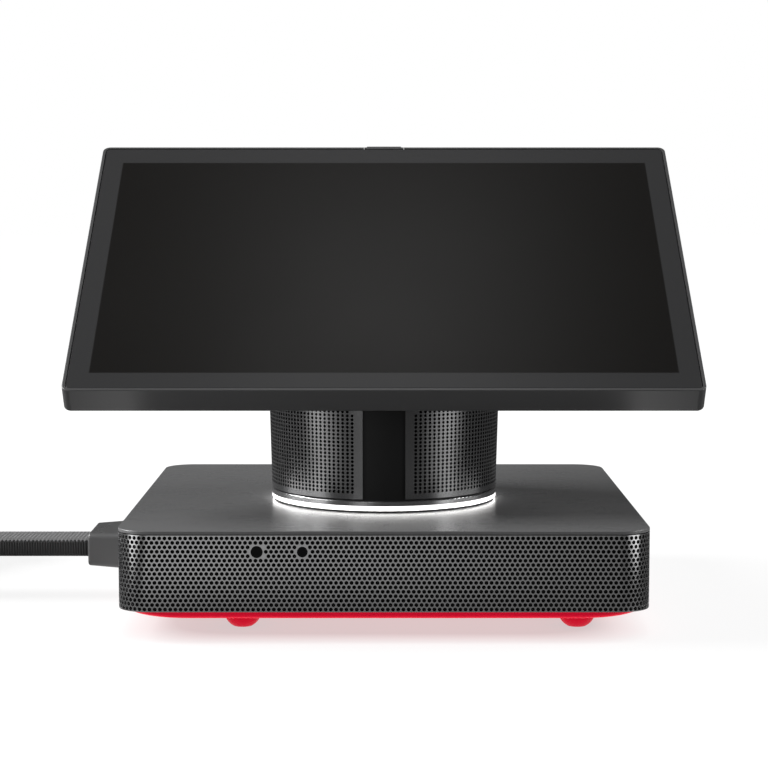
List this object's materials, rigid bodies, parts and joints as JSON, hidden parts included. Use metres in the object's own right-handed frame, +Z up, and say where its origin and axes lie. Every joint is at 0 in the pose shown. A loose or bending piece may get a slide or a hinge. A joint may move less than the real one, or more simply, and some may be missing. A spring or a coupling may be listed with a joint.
{
  "type": "smart display",
  "caption": "Smart display for a table: a tilting touch screen on a round speaker column that swivels on a square perforated base, with a flat braided cable.",
  "frame": {"origin": "on the table under the centre of the square base, which is the middle of the display assembly's footprint without its cable", "axes": "+Z up, +X to the right when facing the screen, -Y towards the person who looks at the screen"},
  "size_m": [0.4596, 0.2592, 0.1783],
  "materials": {
    "plate_grey": "fine matte grey paint",
    "band_grey": "perforated sheet metal, satin grey paint",
    "column_grey": "perforated sheet metal, satin grey paint",
    "collar_grey": "satin grey paint on a turned ring",
    "strip_black": "fine grained matte black moulding",
    "frame_black": "satin dark grey moulding",
    "cover_grey": "fine spark texture",
    "screen_glass": "glass painted dark grey behind, anti-glare",
    "screen_panel": "switched-off liquid crystal panel",
    "black_moulding": "moulded",
    "red_moulding": "satin",
    "red_rubber": "smooth satin",
    "boot_rubber": "fine matte",
    "braided_sleeve": "braided polyester yarn",
    "hook_and_loop": "brushed loop tape",
    "acoustic_cloth": "open black weave",
    "zinc_steel": "zinc plated",
    "bare_aluminium": "bead blasted",
    "bronze_bush": "sintered bronze",
    "circuit_board": "solder mask",
    "cone_paper": "pressed paper",
    "dark_lens": "polished dark lens",
    "white_light_guide": "frosted light guide, lit white"
  },
  "bodies": {
    "base": {"base_top_plate": "plate_grey", "base_grille": "band_grey", "base_liner": "acoustic_cloth", "base_chassis": "black_moulding", "bottom_pan": "red_moulding", "bay_door": "red_moulding", "foot_front_left": "red_rubber", "foot_front_right": "red_rubber", "foot_rear_left": "red_rubber", "foot_rear_right": "red_rubber", "base_screws": "zinc_steel", "bearing_ring": "strip_black", "swivel_bushing": "bronze_bush", "main_board": "circuit_board", "heat_sink": "bare_aluminium", "fan_housing": "black_moulding", "sensor_board": "circuit_board", "sensor_lens_wide": "dark_lens", "sensor_lens_small": "dark_lens", "mic_boards": "circuit_board", "socket_panel": "black_moulding", "audio_jack": "black_moulding", "usb_port": "zinc_steel", "power_switch": "black_moulding", "cable_boot": "boot_rubber", "cable_sleeve": "braided_sleeve", "cable_coil": "braided_sleeve", "coil_ties": "hook_and_loop", "cable_plug": "boot_rubber", "plug_contacts": "zinc_steel"},
    "column": {"swivel_shaft": "zinc_steel", "retaining_ring": "zinc_steel", "light_ring": "white_light_guide", "led_board": "circuit_board", "collar_ring": "collar_grey", "column_foot": "black_moulding", "column_spine": "strip_black", "column_grille_left": "column_grey", "column_grille_right": "column_grey", "column_cloth": "acoustic_cloth", "top_lids": "black_moulding", "speaker_frame_left": "zinc_steel", "speaker_frame_right": "zinc_steel", "speaker_cone_left": "cone_paper", "speaker_cone_right": "cone_paper", "hinge_yoke": "zinc_steel", "hinge_pin": "zinc_steel", "friction_washers": "bronze_bush"},
    "display": {"display_frame": "frame_black", "display_glass": "screen_glass", "lcd_panel": "screen_panel", "lcd_tray": "bare_aluminium", "display_board": "circuit_board", "display_rear_cover": "cover_grey", "display_bracket": "zinc_steel", "bracket_screws": "zinc_steel", "button_switch": "black_moulding"},
    "top_button": {"top_button": "frame_black"},
    "fan_rotor": {"fan_rotor": "black_moulding"},
    "power_button": {"power_button": "black_moulding"}
  },
  "joints": [
    {"name": "swivel", "type": "hinge", "parent": "base", "child": "column", "pos_m": [0, -0.009, 0.04], "axis": [0, 0, 1], "range_deg": [-175, 175]},
    {"name": "tilt", "type": "hinge", "parent": "column", "child": "display", "pos_m": [0, -0.012, 0.098], "axis": [1, 0, 0], "range_deg": [-10, 3]},
    {"name": "top_button_press", "type": "slide", "parent": "display", "child": "top_button", "axis": [0, -0.8156, -0.5786], "range_m": [0, 0.0003], "stiffness_N_per_m": 2000},
    {"name": "power_button_press", "type": "slide", "parent": "base", "child": "power_button", "axis": [0, -1, 0], "range_m": [0, 0.001], "stiffness_N_per_m": 1500},
    {"name": "fan_spin", "type": "hinge", "parent": "base", "child": "fan_rotor", "pos_m": [0.062, 0.045, 0.02], "axis": [0, 0, 1], "continuous": true}
  ]
}
